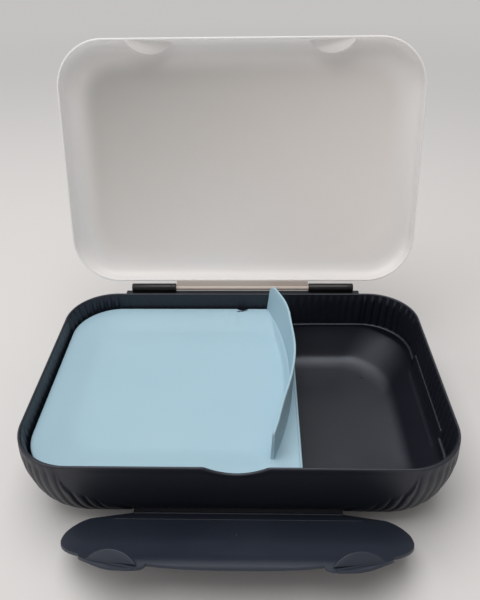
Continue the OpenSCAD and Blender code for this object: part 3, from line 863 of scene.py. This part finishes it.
# ---------------------------------------------------------------- latch flap
# One stiff moulded flap, bent once along a crease, hangs open from a thin film at the foot
# of the front. Its two lens-shaped hooks click into the lid's pockets, each under a slot.
flap_axis = joint_at["flap_hinge"]
FLAP_HALF = 0.097
FLAP_T = 0.0015
FLAP_GAP = 0.00045
FLAP_TOP = TUB_H + 0.0088
FLAP_EDGE_R = 0.00045
# Its outline is a superellipse, with a round lobe at each end and two finger lips on top
FLAP_POWER = 2.5
LOBE_R = 0.0163
LOBE_Z = TUB_H - 0.028
LOBE_STEPS = 28
SHOULDER_STEPS, EDGE_STEPS = 30, 150
SHOULDER_STEP = pi / 2 / 110
LIP_X, LIP_Z = HOOK_X + 0.0005, TUB_H + 0.0017
LIP_HALF, LIP_REACH, LIP_TURN = 0.019, 0.0072, radians(-14)
# Its inner face follows the hull, steps out to clear the lid, and flares at its free edge
FACE_STEPS = 44
FACE_PAST = 0.003
LID_CLEAR, LID_CLEAR_BELOW = LID_OVER + 0.0004, 0.002
FLARE_FROM = TUB_H + 0.0025
FLAP_FLARE, FLARE_POWER = 0.0023, 1.8
PLATE_HALF, CUT_FRONT = 0.1, -0.12
# What is moulded on it: hooks with a slot over each, a bead at the film, a fine ridge along
# the crease, and the stub of the mould's gate
HOOK_Z = POCKET_FLOOR + LID_GAP
HOOK_SUNK, HOOK_SHORT = 0.0004, 0.0006
HOOK_EDGE_R = 0.0004
SLOT_HALF, SLOT_H = 0.0125, 0.0006
BEAD_R, BEAD_TIP_R, BEAD_END = 0.0008, 0.00048, 0.0004
CREASE_Z = flap_axis.z + 0.0053
CREASE_HALF, CREASE_END = 0.073, 0.003
CREASE_R, CREASE_TIP_R, CREASE_UP = 0.0003, 0.0001, 0.0002
GATE_Z = 0.0265
GATE_RINGS = ((0.0009, -0.0006), (0.0008, 0.0003), (0.0004, 0.0004), (0.0002, 0.0001))


def flap_inner(z):
    """The flap's inner face at this height, when shut."""
    flare = FLAP_FLARE * min(1, max(0, (z - FLARE_FROM) / (FLAP_TOP - FLARE_FROM))) ** FLARE_POWER
    clear = LID_CLEAR * ease(TUB_H - LEDGE_DEPTH, TUB_H - LID_CLEAR_BELOW, z)
    return -TUB_HALF_D + hull_inset(min(z, TUB_H)) - FLAP_GAP - flare - clear


def prism_y(name, plan):
    """A plan in X and Z, carried along Y through the flap."""
    return prism(name, [(x, CUT_FRONT, z) for x, z in plan], [(x, 0, z) for x, z in plan])


def turned_ellipse(centre, half, high, turn, steps=64):
    """An ellipse in X and Z, turned about its centre."""
    return [
        (
            centre[0] + half * a * cos(turn) - high * b * sin(turn),
            centre[1] + half * a * sin(turn) + high * b * cos(turn),
        )
        for a, b in circle(1, steps)
    ]


def flap_shoulder(x):
    """Height of the flap's upper edge, before its finger lips are added."""
    share = max(0, 1 - (abs(x) / FLAP_HALF) ** FLAP_POWER) ** (1 / FLAP_POWER)
    return LOBE_Z + (FLAP_TOP - LOBE_Z) * share


def lip_top(x):
    """Height of a finger lip's edge over x, or 0 where there is none."""
    off = abs(x) - LIP_X
    wide = (LIP_HALF * cos(LIP_TURN)) ** 2 + (LIP_REACH * sin(LIP_TURN)) ** 2
    if off * off >= wide:
        return 0.0
    rise = off * (LIP_HALF**2 - LIP_REACH**2) * sin(LIP_TURN) * cos(LIP_TURN)
    return LIP_Z + (rise + LIP_HALF * LIP_REACH * (wide - off * off) ** 0.5) / wide


# Right half of the outline from the hinge up round the lobe and along the upper edge
lobe_x = FLAP_HALF - LOBE_R
away = Vector((lobe_x - HINGE_HALF, LOBE_Z - flap_axis.z))
tangent = atan2(away.y, away.x) - pi / 2 - atan2(LOBE_R, (away.length_squared - LOBE_R**2) ** 0.5)
half_plan = [(HINGE_HALF, flap_axis.z)]
half_plan += [
    (lobe_x + LOBE_R * cos(a), LOBE_Z + LOBE_R * sin(a))
    for a in (tangent * (1 - k / LOBE_STEPS) for k in range(LOBE_STEPS))
]
edge_xs = [FLAP_HALF * cos(SHOULDER_STEP * k) ** (2 / FLAP_POWER) for k in range(SHOULDER_STEPS)]
edge_xs += [edge_xs[-1] * (1 - k / EDGE_STEPS) for k in range(1, EDGE_STEPS)]
half_plan += [(x, max(flap_shoulder(x), lip_top(x))) for x in edge_xs]
flap_plan = half_plan + [(0, FLAP_TOP)] + [(-x, z) for x, z in reversed(half_plan)]
face = [(flap_axis.y, flap_axis.z)]
for k in range(FACE_STEPS + 1):
    z = mix(CREASE_Z, FLAP_TOP + FACE_PAST, k / FACE_STEPS)
    face.append((flap_inner(z), z))
section = face + [(y - FLAP_T, z) for y, z in reversed(face)]
plate = prism("flap_plate", *[[(x, y, z) for y, z in section] for x in (-PLATE_HALF, PLATE_HALF)])
cut(plate, prism_y("flap_plan", flap_plan), "INTERSECT")
for side in (-1, 1):
    slot = turned_ellipse((side * HOOK_X, HOOK_Z + HOOK_T + SLOT_H), SLOT_HALF, SLOT_H, -side * HOOK_SLOPE)
    cut(plate, prism_y("hook_slot", slot))
made_plain(edge_rounded(plate, FLAP_EDGE_R, 3, 50))
hooks = []
for side in (-1, 1):
    place = hook_place(side, HOOK_Z, FLAP_T + HOOK_SUNK)
    hook = lens_prism("hook", place, HOOK_W, HOOK_REACH + FLAP_T - HOOK_SHORT, HOOK_T)
    hooks.append(made_plain(edge_rounded(hook, HOOK_EDGE_R, 3, 30)))


def rod(name, half, end, r, tip_r, y, z, steps):
    """A rod along X, tapered over its last stretch at each end."""
    sections = ((-half, tip_r), (-half + end, r), (half - end, r), (half, tip_r))
    return joined_rings(name, [
        [(x, y + a, z + b) for a, b in circle(section_r, steps)] for x, section_r in sections
    ])


bead = rod("bead", HINGE_HALF, BEAD_END, BEAD_R, BEAD_TIP_R, flap_axis.y, flap_axis.z, 16)
ridge = rod(
    "crease_ridge", CREASE_HALF, CREASE_END, CREASE_R, CREASE_TIP_R,
    flap_inner(CREASE_Z), CREASE_Z + CREASE_UP, 12,
)
gate = joined_rings("gate", [
    [(a, flap_inner(GATE_Z) + y, GATE_Z + b) for a, b in circle(r, 16)] for r, y in GATE_RINGS
])
latch = as_one("latch_flap_moulding", plate, *hooks, bead, ridge, gate)
latch.data.transform(turned_about(flap_axis, joint_turn["flap_hinge"]))
flap_plastic = moulded_plastic(
    "blue-black polypropylene", (0.016, 0.021, 0.033), (0.022, 0.028, 0.043), (0.42, 0.54)
)
dressed(smooth(latch, 35), flap_plastic, "flap", "flap_navy", "latch_flap")
# The film is coloured paler than the flap: partly its stress-whitened grey, partly a painted highlight
# along its top
film = frame["nodes"]["film_hinge"]
film.data.materials.clear()
film.data.materials.append(moulded_plastic(
    "flexed film with painted highlight", (0.045, 0.043, 0.052), (0.06, 0.057, 0.067), (0.4, 0.5), 30.0
))

# ---------------------------------------------------------------- insert tray
# A pale blue polypropylene tray rests on the tub's ledge and covers its left two thirds.
# Its top is one soft dish inside a flat margin, and its skirt stands on the ledge.
TRAY_TOP = TUB_H - 0.0115
TRAY_LOW = TUB_H - LEDGE_DEPTH
TRAY_INSET = 0.0043
TRAY_LEFT = -TUB_HALF_W + TRAY_INSET
TRAY_FRONT = -TUB_HALF_D + TRAY_INSET
TRAY_RIGHT = 0.037
TRAY_T = 0.0015
# Its left corners are wide and follow the tub's, its right ones are tight
TRAY_CORNER, CORNER_SHARE = 0.032, 0.55
TRAY_SMALL_R, TRAY_LEAST_R = 0.004, 0.0012
TRAY_EDGE_R, TRAY_EDGE_STEPS = 0.0008, 4
TRAY_FOOT_R = 0.0002
TRAY_NOTCH_X, TRAY_NOTCH_HALF, TRAY_NOTCH_DEPTH = 0.0004, 0.0047, 0.0018
# How many steps follow each stretch of its outline
SMALL_STEPS, CORNER_STEPS, RIGHT_STEPS, REAR_STEPS, SIDE_STEPS = 10, 20, 48, 120, 24
# The dish starts at the margin, slopes down to its floor, and curves along the fin
DISH_MARGIN = 0.0028
DISH_DEPTH = 0.005
DISH_SLOPE = 0.026
DISH_STEPS = 18
DISH_CORNER = 0.012
DISH_FROM_X = -0.03
UNDERSIDE_INSET = 0.02
GROOVE_RINGS = ((0.0012, 0), (0.0013, 0.0007), (0.0019, 0.0007), (0.0020, 0))
GROOVE_FROM = (0.02, 0.034)
# The bowed line that the fin stands on
FIN_BOW = 0.209
FIN_FROM_EDGE = 0.004
FIN_MIDDLE = 0.0068
FIN_MARGIN, FIN_BLEND = 0.0004, 0.005
fin_centre = Vector((TRAY_RIGHT - FIN_FROM_EDGE - FIN_BOW, FIN_MIDDLE))


def quarter(cx, cy, r, start, steps):
    """A quarter of a circle from the angle start."""
    return [
        (cx + r * cos(start + pi / 2 * k / steps), cy + r * sin(start + pi / 2 * k / steps))
        for k in range(steps + 1)
    ]


def tray_ring(inset, z, into_dish=None):
    """The tray's outline drawn in by inset. Within the dish its right side follows the fin."""
    x0, y0, x1 = TRAY_LEFT + inset, TRAY_FRONT + inset, TRAY_RIGHT - inset
    big = TRAY_CORNER - inset * CORNER_SHARE
    small = max(TRAY_SMALL_R - inset, TRAY_LEAST_R)
    reach = None
    if into_dish is not None:
        x1 = TRAY_RIGHT - DISH_MARGIN
        small = TRAY_LEAST_R + DISH_CORNER * into_dish
        reach = FIN_BOW + FIN_MARGIN - FIN_BLEND * into_dish
    plan = quarter(x1 - small, y0 + small, small, -pi / 2, SMALL_STEPS)
    plan += [(x1, mix(y0 + small, -y0 - small, k / RIGHT_STEPS)) for k in range(1, RIGHT_STEPS)]
    plan += quarter(x1 - small, -y0 - small, small, 0, SMALL_STEPS)
    for k in range(1, REAR_STEPS):
        x = mix(x1 - small, x0 + big, k / REAR_STEPS)
        dip = TRAY_NOTCH_DEPTH * max(0, 1 - ((x - TRAY_NOTCH_X) / TRAY_NOTCH_HALF) ** 2)
        plan.append((x, -y0 - dip * (1 - (into_dish or 0))))
    plan += quarter(x0 + big, -y0 - big, big, pi / 2, CORNER_STEPS)
    plan += [(x0, mix(-y0 - big, y0 + big, k / SIDE_STEPS)) for k in range(1, SIDE_STEPS)]
    plan += quarter(x0 + big, y0 + big, big, pi, CORNER_STEPS)
    plan += [(mix(x0 + big, x1 - small, k / SIDE_STEPS), y0) for k in range(1, SIDE_STEPS)]
    ring = []
    for x, y in plan:
        if reach:
            arc_x = fin_centre.x + (reach * reach - (y - fin_centre.y) ** 2) ** 0.5
            x += min(0, arc_x - x1) * ease(DISH_FROM_X, x1, x)
        ring.append((x, y, z))
    return ring


under_z = TRAY_TOP - DISH_DEPTH - TRAY_T
tray_rings = [tray_ring(TRAY_T + UNDERSIDE_INSET, under_z), tray_ring(TRAY_T, under_z)]
tray_rings += [tray_ring(TRAY_T, TRAY_LOW), tray_ring(TRAY_FOOT_R, TRAY_LOW)]
tray_rings.append(tray_ring(0, TRAY_LOW + TRAY_FOOT_R))
for k in range(TRAY_EDGE_STEPS + 1):
    a = pi / 2 * k / TRAY_EDGE_STEPS
    tray_rings.append(tray_ring(TRAY_EDGE_R * (1 - cos(a)), TRAY_TOP - TRAY_EDGE_R * (1 - sin(a))))
# A fine groove runs just inside the lip, along the right edge only
for inset, drop in GROOVE_RINGS:
    tray_rings.append([
        (x, y, z - drop * ease(*GROOVE_FROM, x)) for x, y, z in tray_ring(inset, TRAY_TOP)
    ])
for k in range(DISH_STEPS + 1):
    t = k / DISH_STEPS
    tray_rings.append(tray_ring(mix(DISH_MARGIN, DISH_SLOPE, t), TRAY_TOP - DISH_DEPTH * ease(0, 1, t), t))
tray = joined_rings("insert_tray_moulding", tray_rings)
tray_blue = moulded_plastic(
    "pale blue polypropylene", (0.285, 0.43, 0.51), (0.345, 0.495, 0.575), (0.45, 0.6), 9.0, 1500.0, 0.06
)
dressed(smooth(tray, 45), tray_blue, "base", "pale_blue", "insert_tray")

# ---------------------------------------------------------------- divider fin
# The tray's bowed fin stands along its right edge, thin, leaning out a little over the
# bowl, its two top corners rounded. It is swept along its arc from its cross-section.
FIN_T = 0.0019
FIN_H = 0.022
FIN_FRONT_R, FIN_REAR_R = 0.003, 0.007
FIN_FRONT, FIN_REAR = -0.0684, 0.0816
FIN_STEPS = 110
FIN_LEVELS = (0, 0.15, 0.3, 0.5, 0.7, 0.85)
FIN_TIP_SHARE, FIN_TIP_STEPS = 0.8, 10
# Its lean changes from front to rear: a touch inwards near its front, most near its rear
FIN_LEANS = ((0.0006,), (-0.0012,), (0.0004,), (0.0020,), (0.0024,), (0.0042,), (0.0024,))
fin_rings = []
for k in range(FIN_STEPS + 1):
    share = 0.5 - 0.5 * cos(pi * k / FIN_STEPS)
    y = mix(FIN_FRONT, FIN_REAR, share)
    height = FIN_H
    for end, r, way in ((FIN_FRONT, FIN_FRONT_R, 1), (FIN_REAR, FIN_REAR_R, -1)):
        past = r - (y - end) * way
        if past > 0:
            height = min(height, FIN_H - r + max(0, r * r - past * past) ** 0.5)
    lean = through(FIN_LEANS, share)[0]
    angle = asin((y - fin_centre.y) / FIN_BOW)
    half_t = FIN_T / 2
    tip = half_t * FIN_TIP_SHARE
    rise = [(mix(half_t, tip, level), level * (height - tip)) for level in FIN_LEVELS]
    turn = (pi * a / FIN_TIP_STEPS for a in range(FIN_TIP_STEPS + 1))
    ring = rise + [(tip * cos(a), height - tip + tip * sin(a)) for a in turn]
    ring += [(-off, up) for off, up in reversed(rise)]
    placed = []
    for off, up in ring:
        r = FIN_BOW + half_t + off + lean * up / FIN_H
        placed.append((fin_centre.x + r * cos(angle), fin_centre.y + r * sin(angle), TRAY_TOP + up))
    fin_rings.append(placed)
fin = joined_rings("divider_fin_moulding", fin_rings)
dressed(smooth(fin, 50), tray_blue, "base", "pale_blue", "divider_fin")

# ---------------------------------------------------------------- camera, floor and light
# The box stands open on a plain pale floor that fades into the backdrop, and the camera
# looks down on it from the front. A wide lamp above, a small one from the left and a pale
# room light it softly.
CAMERA_AT = Vector((0.010506, -0.3118, 0.317349))
YAW, PITCH, ROLL = radians(1.75), radians(33.83), radians(-0.93)
SENSOR_H, LENS = 24, 24.84
forward = Vector((-sin(YAW) * cos(PITCH), cos(YAW) * cos(PITCH), -sin(PITCH)))
across = Vector((cos(YAW), sin(YAW), 0))
upward = across.cross(forward)
right_axis = across * cos(ROLL) + upward * sin(ROLL)
up_axis = upward * cos(ROLL) - across * sin(ROLL)
camera = bpy.data.objects.new("camera", bpy.data.cameras.new("camera"))
bpy.context.scene.collection.objects.link(camera)
camera.data.sensor_fit = "VERTICAL"
camera.data.sensor_height = SENSOR_H
camera.data.lens = LENS
turned = Matrix((right_axis, up_axis, -forward)).transposed().to_4x4()
camera.matrix_world = Matrix.Translation(CAMERA_AT) @ turned
bpy.context.scene.camera = camera

BACKDROP = (1, 0.985, 0.97, 1)
BACKDROP_LEVEL = 0.55
ROOM_LEVEL = 0.4
FLOOR_REACH = 3
FLOOR_TONE = (0.60, 0.585, 0.575, 1)
FLOOR_ROUGHNESS = 0.9
FLOOR_FADE = (0.35, 1.6)
floor_mesh = bpy.data.meshes.new("floor")
corners = [(x * FLOOR_REACH, y * FLOOR_REACH, 0) for x, y in ((-1, -1), (1, -1), (1, 1), (-1, 1))]
floor_mesh.from_pydata(corners, [], [(0, 1, 2, 3)])
floor = solid_piece("floor", floor_mesh)
floor_finish = bpy.data.materials.new("pale floor")
floor_finish.use_nodes = True
floor_mesh.materials.append(floor_finish)
floor_nodes, floor_links = floor_finish.node_tree.nodes, floor_finish.node_tree.links
floor_shader = floor_nodes["Principled BSDF"]
floor_shader.inputs["Base Color"].default_value = FLOOR_TONE
floor_shader.inputs["Roughness"].default_value = FLOOR_ROUGHNESS
backdrop = floor_nodes.new("ShaderNodeEmission")
backdrop.inputs["Color"].default_value = BACKDROP
backdrop.inputs["Strength"].default_value = BACKDROP_LEVEL
far = floor_nodes.new("ShaderNodeVectorMath")
far.operation = "LENGTH"
floor_links.new(floor_nodes.new("ShaderNodeTexCoord").outputs["Object"], far.inputs[0])
fade = floor_nodes.new("ShaderNodeMapRange")
fade.interpolation_type = "SMOOTHSTEP"
fade.inputs["From Min"].default_value = FLOOR_FADE[0]
fade.inputs["From Max"].default_value = FLOOR_FADE[1]
floor_links.new(far.outputs["Value"], fade.inputs["Value"])
blended = floor_nodes.new("ShaderNodeMixShader")
floor_links.new(fade.outputs["Result"], blended.inputs[0])
floor_links.new(floor_shader.outputs["BSDF"], blended.inputs[1])
floor_links.new(backdrop.outputs["Emission"], blended.inputs[2])
floor_links.new(blended.outputs["Shader"], floor_nodes["Material Output"].inputs["Surface"])
floor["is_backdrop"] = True


def softbox(name, place, aim, size, power):
    """A rectangular soft lamp, aimed at a place."""
    lamp = bpy.data.lights.new(name, "AREA")
    lamp.shape = "RECTANGLE"
    lamp.size, lamp.size_y = size
    lamp.energy = power
    holder = bpy.data.objects.new(name, lamp)
    bpy.context.scene.collection.objects.link(holder)
    holder.location = place
    holder.rotation_euler = (Vector(aim) - Vector(place)).to_track_quat("-Z", "Y").to_euler()


softbox("overhead", (-0.2, 0.0, 1.6), (0, 0, 0), (1.6, 1.4), 24)
softbox("from the left", (-1.3, -0.5, 0.8), (0, 0, 0.05), (0.9, 0.9), 4)
world = bpy.data.worlds.new("soft room")
bpy.context.scene.world = world
world.use_nodes = True
sky_nodes, sky_links = world.node_tree.nodes, world.node_tree.links
sky = sky_nodes["Background"]
sky.inputs["Color"].default_value = BACKDROP
seen = sky_nodes.new("ShaderNodeLightPath")
level = sky_nodes.new("ShaderNodeMapRange")
level.inputs["To Min"].default_value = ROOM_LEVEL
level.inputs["To Max"].default_value = BACKDROP_LEVEL
sky_links.new(seen.outputs["Is Camera Ray"], level.inputs["Value"])
sky_links.new(level.outputs["Result"], sky.inputs["Strength"])
bpy.context.scene.view_settings.view_transform = "Standard"

low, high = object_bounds()
